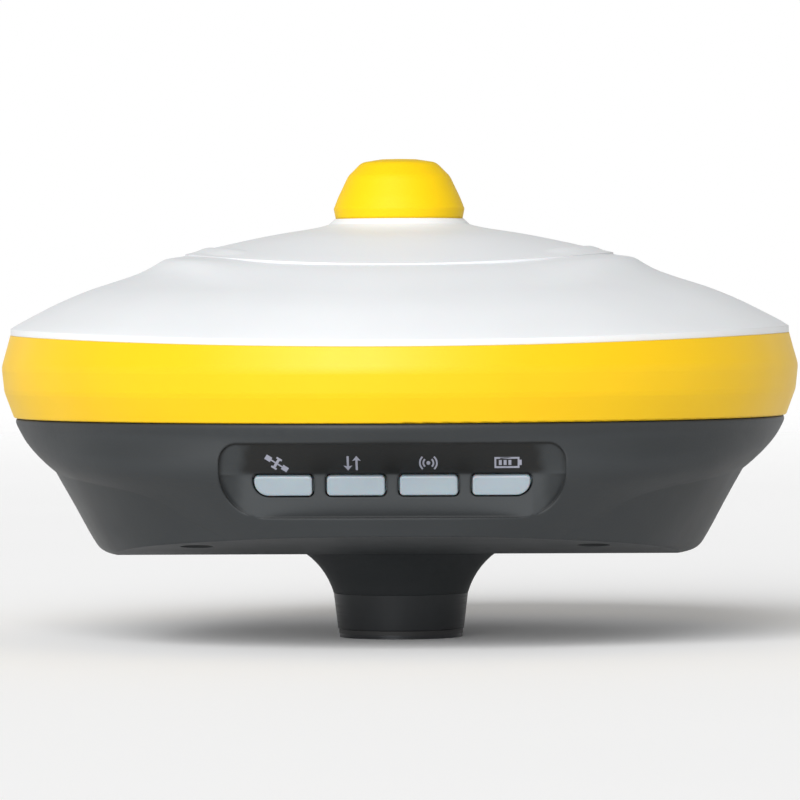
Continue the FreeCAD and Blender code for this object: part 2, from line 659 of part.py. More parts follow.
def make_door(side):
    sign = SIDES[side]
    hinge_x = f"{sign}hinge_x"
    low, high = sided(side, "door_near", "door_far")
    panel = box((low, high), evenly("door_half"), ("base_z", "door_top"))
    outer = size("door_far") * (1 if side == "right" else -1)
    panel = rounded(panel, ("door_corner", upright_at(outer)))
    neck = box(sided(side, "hinge_x", "door_near + 0.5"), evenly("barrel_half"), ("base_z", "door_top"))
    barrel = cylinder("barrel_r", "-barrel_half", "barrel_half", hinge_x, "hinge_z", ALONG_Y)
    bore = cylinder("hinge_bore", "-barrel_half - 1", "barrel_half + 1", hinge_x, "hinge_z", ALONG_Y)
    play = "latch_play"
    room = box(sided(side, "latch_room", f"latch_far + {play}"), evenly(f"latch_half + {play}"),
               (f"latch_step - {play}", f"latch_top + {play}"))
    mouth = box(sided(side, "latch_room", f"latch_far + {play}"), evenly(f"latch_grip_half + {play}"),
                ("base_z - 1", "latch_step"))
    tongue_way = box(sided(side, "latch_far", "door_far + 1"), evenly(f"tongue_half + {play}"),
                     (f"latch_step - {play}", f"latch_top + {play}"))
    node("battery_door_" + side, cut(joined(panel, neck, barrel), bore, room, mouth, tongue_way))


def make_latch(side):
    slider = box(sided(side, "latch_near", "latch_far"), evenly("latch_half"), ("latch_step", "latch_top"))
    grip = box(sided(side, "latch_near", "latch_far"), evenly("latch_grip_half"),
               ("latch_low", "latch_step + 0.1"))
    tongue = box(sided(side, "latch_far - 0.5", "tongue_far"), evenly("tongue_half"),
                 ("latch_step", "latch_top"))
    grooves = []
    for index in range(3):
        start = f"latch_near + 1.1 + 1.3 * {index}"
        grooves.append(box(sided(side, start, f"{start} + 0.6"), evenly("latch_grip_half - 0.8"),
                           ("latch_low - 1", "latch_low + 0.35")))
    node("door_latch_" + side, cut(joined(slider, grip, tongue), *grooves))


def make_gasket(side):
    near, far = "door_near + 0.1", "gasket_far"
    outside = box(sided(side, near, far), evenly("gasket_half"), ("door_top", "gasket_top"))
    inside = box(sided(side, f"{near} + gasket_width", f"{far} - gasket_width"),
                 evenly("gasket_half - gasket_width"), ("door_top - 1", "gasket_top + 1"))
    sign = 1 if side == "right" else -1
    outside = rounded(outside, ("door_corner - 0.7", upright_at(sign * size("gasket_far"))))
    inside = rounded(inside, ("door_corner - 1.7", upright_at(sign * size("gasket_far - gasket_width"))))
    node("door_seal_" + side, cut(outside, inside))


def make_battery(side):
    pack = box(sided(side, "battery_near", "battery_far"), evenly("battery_half"),
               ("floor_z", "battery_top"))
    node("battery_" + side, rounded(pack, ("2", lambda edge: edge.BoundBox.YLength > 20)))
    x = f"{SIDES[side]}contact_x"
    pins = [cylinder("contact_r", "battery_top", "board_low", x, f"contact_pitch * ({i})")
            for i in (-1, 0, 1)]
    node("battery_contacts_" + side, grouped(*pins))
    node("door_pin_" + side, cylinder("hinge_pin_r", "-hinge_pin_half", "hinge_pin_half",
                                      f"{SIDES[side]}hinge_x", "hinge_z", ALONG_Y))


def bay_keepers(side):
    """The plastic round a battery bay, which the case's hollow leaves standing."""
    return [box(sided(side, "bay_near - bay_skin", "bay_far + bay_skin"), evenly("bay_half + bay_skin"),
                ("base_z", "bay_top + bay_skin"))]


def bay_cuts(side):
    sign = SIDES[side]
    recess = box(sided(side, "recess_near", "recess_far"), evenly("recess_half"),
                 ("base_z - 2", "recess_top"))
    outer = size("recess_far") * (1 if side == "right" else -1)
    cuts = [rounded(recess, ("door_corner + 0.3", upright_at(outer)))]
    cuts.append(box(sided(side, "bay_near", "bay_far"), evenly("bay_half"), ("base_z - 2", "bay_top")))
    cuts.append(box(sided(side, "slot_near", "recess_near + 0.5"), evenly("slot_half"),
                    ("base_z - 2", "slot_top")))
    cuts.append(box(sided(side, "recess_far - 0.5", "keeper_far"), evenly("tongue_half + 0.3"),
                    ("latch_step - 0.1", "latch_top + 0.1")))
    cuts.append(cylinder("hinge_pin_r", "-hinge_pin_half", "hinge_pin_half", f"{sign}hinge_x", "hinge_z",
                         ALONG_Y))
    for i in (-1, 0, 1):
        cuts.append(cylinder("contact_r + 0.05", "bay_top - 1", "board_low + 1", f"{sign}contact_x",
                             f"contact_pitch * ({i})"))
    return cuts


# --------------------------------------------------------------------------- rear connectors
def pocket(grow):
    radii = [f"pocket_round + {grow}"] * 4
    return plate(evenly(f"pocket_half + {grow}"), (f"pocket_low - {grow}", f"pocket_top + {grow}"),
                 (f"pocket_y - {grow}", "100"), radii)


def port_cuts():
    cuts = [cylinder("port_hole_r", "pocket_y - 8", "pocket_y + 3", x, "port_z", ALONG_Y)
            for x in evenly("port_x")]
    cuts.append(cylinder("vent_hole_r", "pocket_y - 8", "pocket_y + 3", "0", "port_z", ALONG_Y))
    return cuts


def pin_places(middle, count):
    """Contacts on a ring inside a port, with one in its centre."""
    spots = [(middle, "port_z")]
    for index in range(count - 1):
        turn = 360.0 * index / (count - 1)
        spots.append((f"{middle} + port_pin_ring * cos({turn})", f"port_z + port_pin_ring * sin({turn})"))
    return spots


def make_ports():
    insulators, nuts = [], []
    for name, sign, count in (("data_port", "", 8), ("power_port", "-", 6)):
        middle = f"{sign}port_x"
        shell = joined(cylinder("port_r", "port_inner_y", "port_flange_y", middle, "port_z", ALONG_Y),
                       cylinder("port_flange_r", "pocket_y", "port_flange_y", middle, "port_z", ALONG_Y))
        socket = cylinder("socket_r", "socket_y", "port_flange_y + 1", middle, "port_z", ALONG_Y)
        disc_way = cylinder("port_disc_r", "port_inner_y - 1", "socket_y + 0.5", middle, "port_z", ALONG_Y)
        node(name, cut(shell, socket, disc_way))
        spots = pin_places(middle, count)
        disc = cylinder("port_disc_r", "port_inner_y", "socket_y", middle, "port_z", ALONG_Y)
        holes = [cylinder("port_pin_r", "port_inner_y - 1", "socket_y + 1", x, z, ALONG_Y) for x, z in spots]
        insulators.append(cut(disc, *holes))
        pins = [cylinder("port_pin_r", "port_inner_y - 1.5", "socket_y", x, z, ALONG_Y) for x, z in spots]
        node(name + "_pins", grouped(*pins))
        inner_face = "pocket_y - wall"
        nut = prism("port_nut_r", f"{inner_face} - port_nut_depth", inner_face, middle, "port_z", ALONG_Y)
        nuts.append(cut(nut, cylinder("port_r", f"{inner_face} - 5", f"{inner_face} + 1", middle, "port_z",
                                      ALONG_Y)))
        make_port_cap(name, sign, middle)
    node("port_insulators", grouped(*insulators))
    node("port_nuts", grouped(*nuts))
    head = cylinder("vent_r", "pocket_y", "vent_y", "0", "port_z", ALONG_Y)
    stem = cylinder("vent_hole_r", "pocket_y - wall - 1", "pocket_y + 0.1", "0", "port_z", ALONG_Y)
    node("vent_plug", joined(head, stem))


def make_port_cap(name, sign, middle):
    """A rubber cap that grips the outside of the port's flange, with a tab towards the middle."""
    face = "pocket_y + 0.1"
    cover = cylinder("port_cap_r", face, "port_cap_y", middle, "port_z", ALONG_Y)
    tab_near, tab_far = "port_x - port_tab", "port_x - port_cap_r + 0.8"
    ends = (tab_near, tab_far) if sign == "" else (f"-({tab_far})", f"-({tab_near})")
    tab = box(ends, ("port_cap_y - 1.2", "port_cap_y"), ("port_z - 2.2", "port_z + 2.2"))
    grip = cylinder("port_flange_r + 0.05", "pocket_y - 1", "port_flange_y + 0.1", middle, "port_z", ALONG_Y)
    node(name + "_cap", cut(joined(cover, tab), grip))


# --------------------------------------------------------------------------- lower housing
def relief(name, way, lift):
    """The wedge that lifts the underside towards one end; lift raises it to leave a floor."""
    half = size("relief_half")
    start, end = size("relief_start"), size("relief_end")
    slope = size("relief_rise") / (end - start)
    low = size("relief_low")

    def section(y):
        top = size("base_z") + slope * (y - start) + lift
        corners = [(-half, low), (-half, top), (half, top), (half, low)]
        return Part.makePolygon([Vector(x, way * y, z) for x, z in corners + corners[:1]])
    near, far = section(start - size("relief_lead")), section(end)
    return fixed_shape(name, Part.makeLoft([near, far], True, True))


def neck_flare():
    """The trumpet that carries the bowl's underside into the neck."""
    body = doc.addObject("PartDesign::Body", "flare")
    sketch = new_sketch(body, "XZ_Plane")
    top = "base_z + 0.1"
    corners = [("neck_bore", "collar_top"), ("collar_r", "collar_top"), ("flare_r", top), ("neck_bore", top)]
    places = [Vector(size(x), size(y), 0) for x, y in corners]
    chord = places[2] - places[1]
    radius = size("flare_round")
    off_axis = Vector(chord.y, -chord.x, 0) / chord.Length
    centre = (places[1] + places[2]) / 2 + off_axis * math.sqrt(radius ** 2 - chord.Length ** 2 / 4)
    circle = Part.Circle(centre, Vector(0, 0, 1), radius)
    begin, end = [math.atan2(spot.y - centre.y, spot.x - centre.x) for spot in (places[2], places[1])]
    sketch.addGeometry(Part.LineSegment(places[0], places[1]))
    sketch.addGeometry(Part.ArcOfCircle(circle, begin, end))
    sketch.addGeometry(Part.LineSegment(places[2], places[3]))
    sketch.addGeometry(Part.LineSegment(places[3], places[0]))
    joints = [(0, 2, 1, 2), (1, 1, 2, 1), (2, 2, 3, 1), (3, 2, 0, 1)]
    for joint in joints:
        sketch.addConstraint(Sketcher.Constraint("Coincident", *joint))
    for line, (x, y) in zip((0, 2, 3), (corners[0], corners[2], corners[3])):
        hold(sketch, "DistanceX", line, 1, text=x)
        hold(sketch, "DistanceY", line, 1, text=y)
    hold(sketch, "DistanceX", 0, 2, text="collar_r")
    hold(sketch, "DistanceY", 0, 2, text="collar_top")
    hold(sketch, "Radius", 1, text="flare_round")
    spin = body.newObject("PartDesign::Revolution", "spin")
    spin.Profile = sketch
    spin.ReferenceAxis = (sketch, ["V_Axis"])
    return body


def housing_hollow(columns, pillars):
    """The room inside the case, less everything that stands up in it."""
    cavity = fixed_shape("cavity", lofted(CAVITY_SIDE, cavity_front))
    room = joined(cavity, cylinder("lip_inner_r", "rim_z - 2.4", "lip_top + 2"))
    lift = size("relief_floor")
    floors = [relief("front_floor", -1, lift), relief("back_floor", 1, lift)]
    for keeper in [make_tray(size("wall")), pocket("wall")] + floors:
        room = cut(room, keeper)
    posts = [cylinder("boss_r", "base_z", "boss_top")]
    for side in SIDES:
        posts += bay_keepers(side)
    posts += [cylinder("column_r", "base_z", "column_top", x, y) for x, y in columns]
    posts += [cylinder("pillar_r", "base_z", "board_low", x, y) for x, y in pillars]
    key_posts = [cylinder("key_post_r", "1", "key_board_low", x, "0", ALONG_Y) for x in evenly("key_screw_x")]
    return cut(cut(room, grouped(*posts)), on_panel(grouped(*key_posts)))


def make_housing():
    columns = four_corners("case_screw_x", "case_screw_y")
    pillars = four_corners("pillar_x", "pillar_y")
    bowl = fixed_shape("bowl", lofted(BOWL_SIDE, bowl_front))
    pods = fixed_shape("pods", lofted(POD_SIDE, lambda z: bowl_front(z) - size("pod_inset")))
    for name, way in (("front_relief", -1), ("back_relief", 1)):
        wedge = relief(name, way, 0.0)
        bowl, pods = cut(bowl, wedge), cut(pods, wedge)
    lip = cylinder("lip_r", "rim_z - 0.5", "lip_top")
    block = fused(fused(fused(bowl, pods), lip), neck_flare())
    block = cut(cut(block, make_tray(0.0)), pocket("0"))
    shell = cut(block, housing_hollow(columns, pillars))
    shell = cut(shell, key_openings())
    for side in SIDES:
        shell = cut(shell, joined(*bay_cuts(side)))
    holes = [cylinder("neck_bore", "0", "boss_top + 1")] + port_cuts()
    holes += [cylinder("board_screw_r + 0.05", "board_screw_low - 1", "board_low + 1", x, y)
              for x, y in pillars]
    shell = cut(shell, grouped(*holes))
    steps = [joined(cylinder("case_hole_r", "base_z - 3", "column_top + 1", x, y),
                    cylinder("sink_r", "base_z - 3", "sink_top", x, y)) for x, y in columns]
    screw_ways = [cylinder("key_screw_r + 0.05", "key_board_low - 3", "key_board_low + 1", x, "0", ALONG_Y)
                  for x in evenly("key_screw_x")]
    shell = cut(shell, grouped(*steps, on_panel(grouped(*screw_ways))))
    return node("lower_housing", shell)


# --------------------------------------------------------------------------- neck and fasteners
def make_neck():
    node("pole_insert", turned([
        ("thread_r", "0"), ("flange_r", "0"), ("flange_r", "flange_top"), ("insert_r", "flange_top"),
        ("insert_r", "insert_top"), ("0", "insert_top"), ("0", "thread_depth"),
        ("thread_r", "thread_depth")]))
    node("neck_washer", turned([
        ("neck_bore", "flange_top"), ("washer_r", "flange_top"), ("washer_r", "washer_top"),
        ("neck_bore", "washer_top")]))
    collar = turned([
        ("neck_bore", "washer_top"), ("collar_foot_r", "washer_top"), ("collar_r", "collar_top"),
        ("neck_bore", "collar_top")])
    node("neck_collar", rounded(collar, ("0.3", circle_at("collar_foot_r", "washer_top"))))
    nut = prism("nut_r", "boss_top", "nut_top")
    node("insert_nut", cut(nut, cylinder("neck_bore", "boss_top - 1", "nut_top + 1")))


def make_case_fasteners():
    node("housing_seal", turned([
        ("seal_inner_r", "lip_top"), ("seal_r", "lip_top"), ("seal_r", "skirt_low"),
        ("seal_inner_r", "skirt_low")]))
    screws = []
    for x, y in four_corners("case_screw_x", "case_screw_y"):
        shank = cylinder("case_screw_r", "case_head_low + 1", "case_screw_top", x, y)
        head = cylinder("case_head_r", "case_head_low", "sink_top", x, y)
        key_way = prism("1.4", "case_head_low - 1", "case_head_low + 1.2", x, y)
        screws.append(cut(joined(head, shank), key_way))
    node("housing_screws", grouped(*screws))


# --------------------------------------------------------------------------- electronics
def make_boards():
    pillars = four_corners("pillar_x", "pillar_y")
    board = cylinder("board_r", "board_low", "board_top")
    holes = [cylinder("board_screw_r + 0.15", "board_low - 1", "board_top + 1", x, y) for x, y in pillars]
    node("main_board", cut(board, *holes))
    screws = [joined(cylinder("board_screw_r", "board_screw_low", "board_head_top", x, y),
                     cylinder("board_head_r", "board_top", "board_head_top", x, y)) for x, y in pillars]
    node("board_screws", grouped(*screws))
    can_edge = ("0.6", lambda edge: edge.BoundBox.ZLength < 0.01 and edge.BoundBox.ZMin > 44.0)
    radio = box(evenly("radio_x"), evenly("radio_y"), ("board_top", "radio_top"))
    node("radio_module", rounded(radio, can_edge))
    gnss = box(evenly("module_x"), ("module_near", "module_far"), ("board_top", "module_top"))
    node("gnss_module", rounded(gnss, can_edge))
    modem = box(evenly("module_x"), ("-module_far", "-module_near"), ("board_top", "module_top"))
    node("modem_module", rounded(modem, can_edge))


def make_antenna():
    places = four_corners("standoff_at", "standoff_at")
    posts = [cut(cylinder("standoff_r", "board_top", "plane_low", x, y),
                 cylinder("antenna_screw_r + 0.05", "antenna_screw_low - 1", "plane_low + 1", x, y))
             for x, y in places]
    node("antenna_standoffs", grouped(*posts))
    feed = ("feed_hole_r", "plane_low - 9", "patch_up_top + 1")
    holes = [cylinder("antenna_screw_r + 0.1", "plane_low - 1", "plane_top + 1", x, y) for x, y in places]
    node("ground_plane", cut(cylinder("plane_r", "plane_low", "plane_top"), cylinder(*feed), *holes))
    lower = box(evenly("patch_low_half"), evenly("patch_low_half"), ("plane_top", "patch_low_top"))
    node("lower_patch", cut(lower, cylinder(*feed)))
    upper = box(evenly("patch_up_half"), evenly("patch_up_half"), ("patch_low_top", "patch_up_top"))
    node("upper_patch", cut(upper, cylinder(*feed)))
    can = box(evenly("can_x"), evenly("can_y"), ("can_low", "plane_low"))
    node("amplifier_can", cut(can, cylinder("feed_hole_r", "can_low - 1", "plane_low + 1")))
    screws = [joined(cylinder("antenna_screw_r", "antenna_screw_low", "antenna_head_top", x, y),
                     cylinder("board_head_r", "plane_top", "antenna_head_top", x, y)) for x, y in places]
    node("antenna_screws", grouped(*screws))
    node("antenna_coax", cylinder("coax_r", "radio_top", "coax_top"))


def make_jack():
    node("antenna_jack", turned([
        ("coax_r + 0.05", "jack_stem_low"), ("jack_stem_r", "jack_stem_low"),
        ("jack_stem_r", "crown_boss_top"), ("jack_flange_r", "crown_boss_top"),
        ("jack_flange_r", "jack_flange_top"), ("jack_r", "jack_flange_top"), ("jack_r", "jack_top"),
        ("jack_bore_r", "jack_top"), ("jack_bore_r", "jack_bore_low"), ("coax_r + 0.05", "jack_bore_low")]))
    node("jack_insulator", turned([
        ("jack_contact_r", "jack_bore_low"), ("jack_bore_r", "jack_bore_low"),
        ("jack_bore_r", "jack_insulator_top"), ("jack_contact_r", "jack_insulator_top")]))
    node("jack_contact", cylinder("jack_contact_r", "coax_top", "jack_contact_top"))
    nut = prism("jack_nut_r", "jack_nut_low", "crown_ceiling")
    node("jack_nut", cut(nut, cylinder("jack_stem_r", "jack_nut_low - 1", "crown_ceiling + 1")))


def make_antenna_cap():
    shape = turned([
        ("cap_grip_r", "crown_boss_top"), ("cap_foot_r", "crown_boss_top"), ("cap_lip_r", "cap_lip_z"),
        ("cap_side_r", "cap_side_z"), ("cap_shoulder_r", "cap_shoulder_z"), ("cap_crown_r", "cap_crown_z"),
        ("cap_flat_r", "cap_flat_z"), ("0", "cap_top"), ("0", "cap_room_top"), ("cap_room_top_r", "cap_room_top"),
        ("cap_room_r", "cap_grip_top"), ("cap_grip_r", "cap_grip_top")])
    node("antenna_cap", rounded(
        shape, ("0.5", circle_at("cap_lip_r", "cap_lip_z")), ("1.6", circle_at("cap_side_r", "cap_side_z")),
        ("3.4", circle_at("cap_shoulder_r", "cap_shoulder_z")),
        ("2.6", circle_at("cap_crown_r", "cap_crown_z"))))


# --------------------------------------------------------------------------- assembly
def build():
    make_radome()
    make_band()
    make_housing()
    make_neck()
    make_case_fasteners()
    make_boards()
    make_antenna()
    make_jack()
    make_antenna_cap()
    make_keys()
    make_key_electronics()
    for side in SIDES:
        make_door(side)
        make_latch(side)
        make_gasket(side)
        make_battery(side)
    make_ports()
    doc.recompute()


def check():
    """Stop if an object failed or a sub-part's shape is missing or not valid."""
    for item in doc.Objects:
        if "Invalid" in item.State or "Error" in item.State:
            raise RuntimeError(f"{item.Label} ({item.Name}) failed: {item.State}")
    for solid in NODES:
        shape = solid.Shape
        if shape.isNull() or not shape.isValid() or not shape.Solids:
            raise RuntimeError(f"{solid.Label} has no valid solid")


def export():
    os.makedirs("parts", exist_ok=True)
    for solid in NODES:
        solid.Shape.exportStep(f"parts/{solid.Label}.step")


build()
check()
export()
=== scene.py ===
"""The looks of the GNSS receiver: materials, small moulded and turned detail, the stage and the camera."""
import json
import math

import bmesh
import bpy
from mathutils import Matrix, Vector


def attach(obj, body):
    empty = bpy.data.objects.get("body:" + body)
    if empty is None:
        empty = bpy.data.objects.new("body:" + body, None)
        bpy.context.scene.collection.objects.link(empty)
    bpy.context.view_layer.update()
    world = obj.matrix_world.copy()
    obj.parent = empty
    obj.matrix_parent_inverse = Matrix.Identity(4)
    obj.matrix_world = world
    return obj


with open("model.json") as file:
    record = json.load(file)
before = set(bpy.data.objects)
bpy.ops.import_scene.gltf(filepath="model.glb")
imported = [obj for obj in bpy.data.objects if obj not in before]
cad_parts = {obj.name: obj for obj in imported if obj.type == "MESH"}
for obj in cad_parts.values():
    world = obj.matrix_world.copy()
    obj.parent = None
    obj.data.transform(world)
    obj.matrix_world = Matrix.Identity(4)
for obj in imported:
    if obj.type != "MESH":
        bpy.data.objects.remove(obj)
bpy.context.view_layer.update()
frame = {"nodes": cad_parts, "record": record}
nodes = frame["nodes"]
MM = 0.001


# --------------------------------------------------------------------------- materials
def linear(value):
    """One sRGB channel, 0 to 255, as linear light."""
    value /= 255.0
    return value / 12.92 if value <= 0.04045 else ((value + 0.055) / 1.055) ** 2.4


def rgb(red, green, blue):
    return (linear(red), linear(green), linear(blue), 1.0)


class Finish:
    """A node material whose colour, roughness and relief are varied in object space."""

    def __init__(self, name, colour, roughness=0.5, metallic=0.0, **inputs):
        self.material = bpy.data.materials.new(name)
        self.material.use_nodes = True
        self.tree = self.material.node_tree
        self.tree.nodes.clear()
        self.output = self.tree.nodes.new("ShaderNodeOutputMaterial")
        self.shader = self.tree.nodes.new("ShaderNodeBsdfPrincipled")
        self.link(self.shader.outputs[0], self.output.inputs[0])
        self.shader.inputs["Base Color"].default_value = colour
        self.shader.inputs["Roughness"].default_value = roughness
        self.shader.inputs["Metallic"].default_value = metallic
        for key, value in inputs.items():
            self.shader.inputs[key.replace("_", " ")].default_value = value
        self.colour = colour
        self.roughness = roughness
        self.normal = None
        self.place = self.tree.nodes.new("ShaderNodeTexCoord").outputs["Object"]

    def link(self, start, end):
        self.tree.links.new(start, end)

    def noise(self, scale, detail=3.0, stretch=None):
        """Noise whose features are about 1000 / scale millimetres across."""
        source = self.place
        if stretch is not None:
            mapping = self.tree.nodes.new("ShaderNodeMapping")
            mapping.inputs["Scale"].default_value = stretch
            self.link(source, mapping.inputs[0])
            source = mapping.outputs[0]
        texture = self.tree.nodes.new("ShaderNodeTexNoise")
        texture.inputs["Scale"].default_value = scale
        texture.inputs["Detail"].default_value = detail
        self.link(source, texture.inputs["Vector"])
        return texture.outputs["Fac"]

    def ranged(self, source, low, high, start=0.3, end=0.7):
        """Go from low to high while the source goes from start to end."""
        node = self.tree.nodes.new("ShaderNodeMapRange")
        for key, value in (("From Min", start), ("From Max", end), ("To Min", low), ("To Max", high)):
            node.inputs[key].default_value = value
        self.link(source, node.inputs["Value"])
        return node.outputs[0]

    def vary_colour(self, source, other):
        """Blend the colour towards another one where the source is high."""
        mix = self.tree.nodes.new("ShaderNodeMix")
        mix.data_type = "RGBA"
        mix.inputs["A"].default_value = self.colour
        mix.inputs["B"].default_value = other
        self.link(source, mix.inputs["Factor"])
        self.link(mix.outputs["Result"], self.shader.inputs["Base Color"])
        return self

    def vary_roughness(self, source, spread):
        """Let the roughness wander by a spread to either side."""
        values = self.ranged(source, self.roughness - spread, self.roughness + spread)
        self.link(values, self.shader.inputs["Roughness"])
        return self

    def soften(self, radius):
        """Let edges catch the light as if they were rounded to a radius in millimetres."""
        node = self.tree.nodes.new("ShaderNodeBevel")
        node.samples = 6
        node.inputs["Radius"].default_value = radius * MM
        self.link(node.outputs[0], self.shader.inputs["Normal"])
        self.normal = node.outputs[0]
        return self

    def bump(self, source, depth, strength=1.0):
        """Add relief of a depth in millimetres."""
        node = self.tree.nodes.new("ShaderNodeBump")
        node.inputs["Distance"].default_value = depth * MM
        node.inputs["Strength"].default_value = strength
        self.link(source, node.inputs["Height"])
        if self.normal is not None:
            self.link(self.normal, node.inputs["Normal"])
        self.link(node.outputs[0], self.shader.inputs["Normal"])
        self.normal = node.outputs[0]
        return self


def base_colour(finish):
    """The socket that the base colour comes from."""
    return finish.shader.inputs["Base Color"].links[0].from_socket


def painted_recess_shade(finish, reach, darkest, shade_from=0.15, shade_to=0.85):
    """Paint shade into the colour in recesses and corners: ambient occlusion darkens the base colour there.
    """
    occlusion = finish.tree.nodes.new("ShaderNodeAmbientOcclusion")
    occlusion.samples = 8
    occlusion.inputs["Distance"].default_value = reach * MM
    # painted shade: the colour is scaled towards black where ambient occlusion finds nearby surfaces
    amount = finish.ranged(occlusion.outputs["AO"], darkest, 1.0, shade_from, shade_to)
    mix = finish.tree.nodes.new("ShaderNodeMix")
    mix.data_type = "RGBA"
    mix.inputs["A"].default_value = (0.0, 0.0, 0.0, 1.0)
    finish.link(base_colour(finish), mix.inputs["B"])
    finish.link(amount, mix.inputs["Factor"])
    finish.link(mix.outputs["Result"], finish.shader.inputs["Base Color"])


def smooth_step(finish, source, low, high, start, end):
    """A mask that goes smoothly from low to high while the source goes from start to end."""
    node = finish.tree.nodes.new("ShaderNodeMapRange")
    node.interpolation_type = "SMOOTHSTEP"
    for key, value in (("From Min", start), ("From Max", end), ("To Min", low), ("To Max", high)):
        node.inputs[key].default_value = value
    finish.link(source, node.inputs["Value"])
    return node.outputs[0]


def times(finish, first, second):
    """The product of two masks."""
    node = finish.tree.nodes.new("ShaderNodeMath")
    node.operation = "MULTIPLY"
    finish.link(first, node.inputs[0])
    finish.link(second, node.inputs[1])
    return node.outputs[0]


def tinted(finish, mask, tint):
    """Turn the base colour to a tint where the mask is high."""
    mix = finish.tree.nodes.new("ShaderNodeMix")
    mix.data_type = "RGBA"
    finish.link(base_colour(finish), mix.inputs["A"])
    mix.inputs["B"].default_value = tint
    finish.link(mask, mix.inputs["Factor"])
    finish.link(mix.outputs["Result"], finish.shader.inputs["Base Color"])


# Where the key tray's painted shade (on the brow) and painted light (on the face) fade in or out: places in
# metres, slopes as the normal's Z.
TRAY_END = (0.0322, 0.0334)
TRAY_FRONT = (-0.060, -0.058)
BROW_FOOT = (0.0332, 0.0352)
BROW_TOP = (0.0402, 0.0410)
FACE_FOOT = (0.0255, 0.0265)
BROW_SHADE_SLOPE = (-0.50, -0.38)
FACE_LIGHT_SLOPE = (-0.45, -0.30)


def tray_painted_shade_and_light(finish, normal, brow, face):
    """Paint shade on the key tray's brow, which faces downwards, and paint light on its face, which stands
    more nearly vertical; both are found by place and slope.
    """
    place = finish.tree.nodes.new("ShaderNodeSeparateXYZ")
    finish.link(finish.place, place.inputs[0])
    slope = finish.tree.nodes.new("ShaderNodeSeparateXYZ")
    finish.link(normal, slope.inputs[0])
    across = finish.tree.nodes.new("ShaderNodeMath")
    across.operation = "ABSOLUTE"
    finish.link(place.outputs["X"], across.inputs[0])
    inside = smooth_step(finish, across.outputs[0], 1.0, 0.0, *TRAY_END)
    front = times(finish, inside, smooth_step(finish, place.outputs["Y"], 1.0, 0.0, *TRAY_FRONT))
    upper = times(finish, front, smooth_step(finish, place.outputs["Z"], 0.0, 1.0, *BROW_FOOT))
    upper = times(finish, upper, smooth_step(finish, place.outputs["Z"], 1.0, 0.0, *BROW_TOP))
    # painted shade: where the brow's normal points downwards it gets the dark tint, as if the light did not
    # reach it
    shade_leaning = smooth_step(finish, slope.outputs["Z"], 1.0, 0.0, *BROW_SHADE_SLOPE)
    tinted(finish, times(finish, upper, shade_leaning), brow)
    lower = times(finish, front, smooth_step(finish, place.outputs["Z"], 1.0, 0.0, *BROW_FOOT))
    lower = times(finish, lower, smooth_step(finish, place.outputs["Z"], 0.0, 1.0, *FACE_FOOT))
    # painted light: where the face's normal is more nearly level it gets the lighter tint, as if the light
    # fell on it
    light_upright = smooth_step(finish, slope.outputs["Z"], 0.0, 1.0, *FACE_LIGHT_SLOPE)
    tinted(finish, times(finish, lower, light_upright), face)


MOTTLE_SCALE = 35.0
GLOSS_SCALE = 60.0


def moulded(name, colour, other, roughness, grain, depth, edge=0.0, recess_reach=0.0, **inputs):
    """Moulded plastic or rubber: faint mottling, a fine even grain and slightly uneven gloss.

    An edge of more than 0 softens the corners by that radius, and a recess_reach of more than 0
    is for the housing: it paints shade on the tray's brow, paints light on the tray's face and paints shade
    into the recesses.
    """
    finish = Finish(name, colour, roughness, **inputs)
    if edge > 0.0:
        finish.soften(edge)
    rounded_normal = finish.normal
    finish.vary_colour(finish.ranged(finish.noise(MOTTLE_SCALE, 4.0), 0.0, 1.0), other)
    finish.vary_roughness(finish.noise(GLOSS_SCALE, 2.0), 0.04)
    finish.bump(finish.noise(grain, 2.0), depth)
    if recess_reach > 0.0:
        # painted shade on the tray's brow (dark tint), painted light on its face (lighter tint), then
        # painted shade in the recesses
        tray_painted_shade_and_light(finish, rounded_normal, rgb(22, 23, 23), rgb(58, 61, 63))
        painted_recess_shade(finish, recess_reach, 0.25)
    return finish.material


def turned_metal(name, colour, other, roughness, metallic=1.0):
    """Metal with fine rings from the lathe: noise that is long across the axis and short along it."""
    finish = Finish(name, colour, roughness, metallic)
    rings = finish.noise(900.0, 2.0, stretch=(0.04, 0.04, 4.0))
    finish.vary_colour(finish.ranged(finish.noise(120.0), 0.0, 1.0), other)
    finish.vary_roughness(rings, 0.06)
    finish.bump(rings, 0.01, 0.6)
    return finish.material


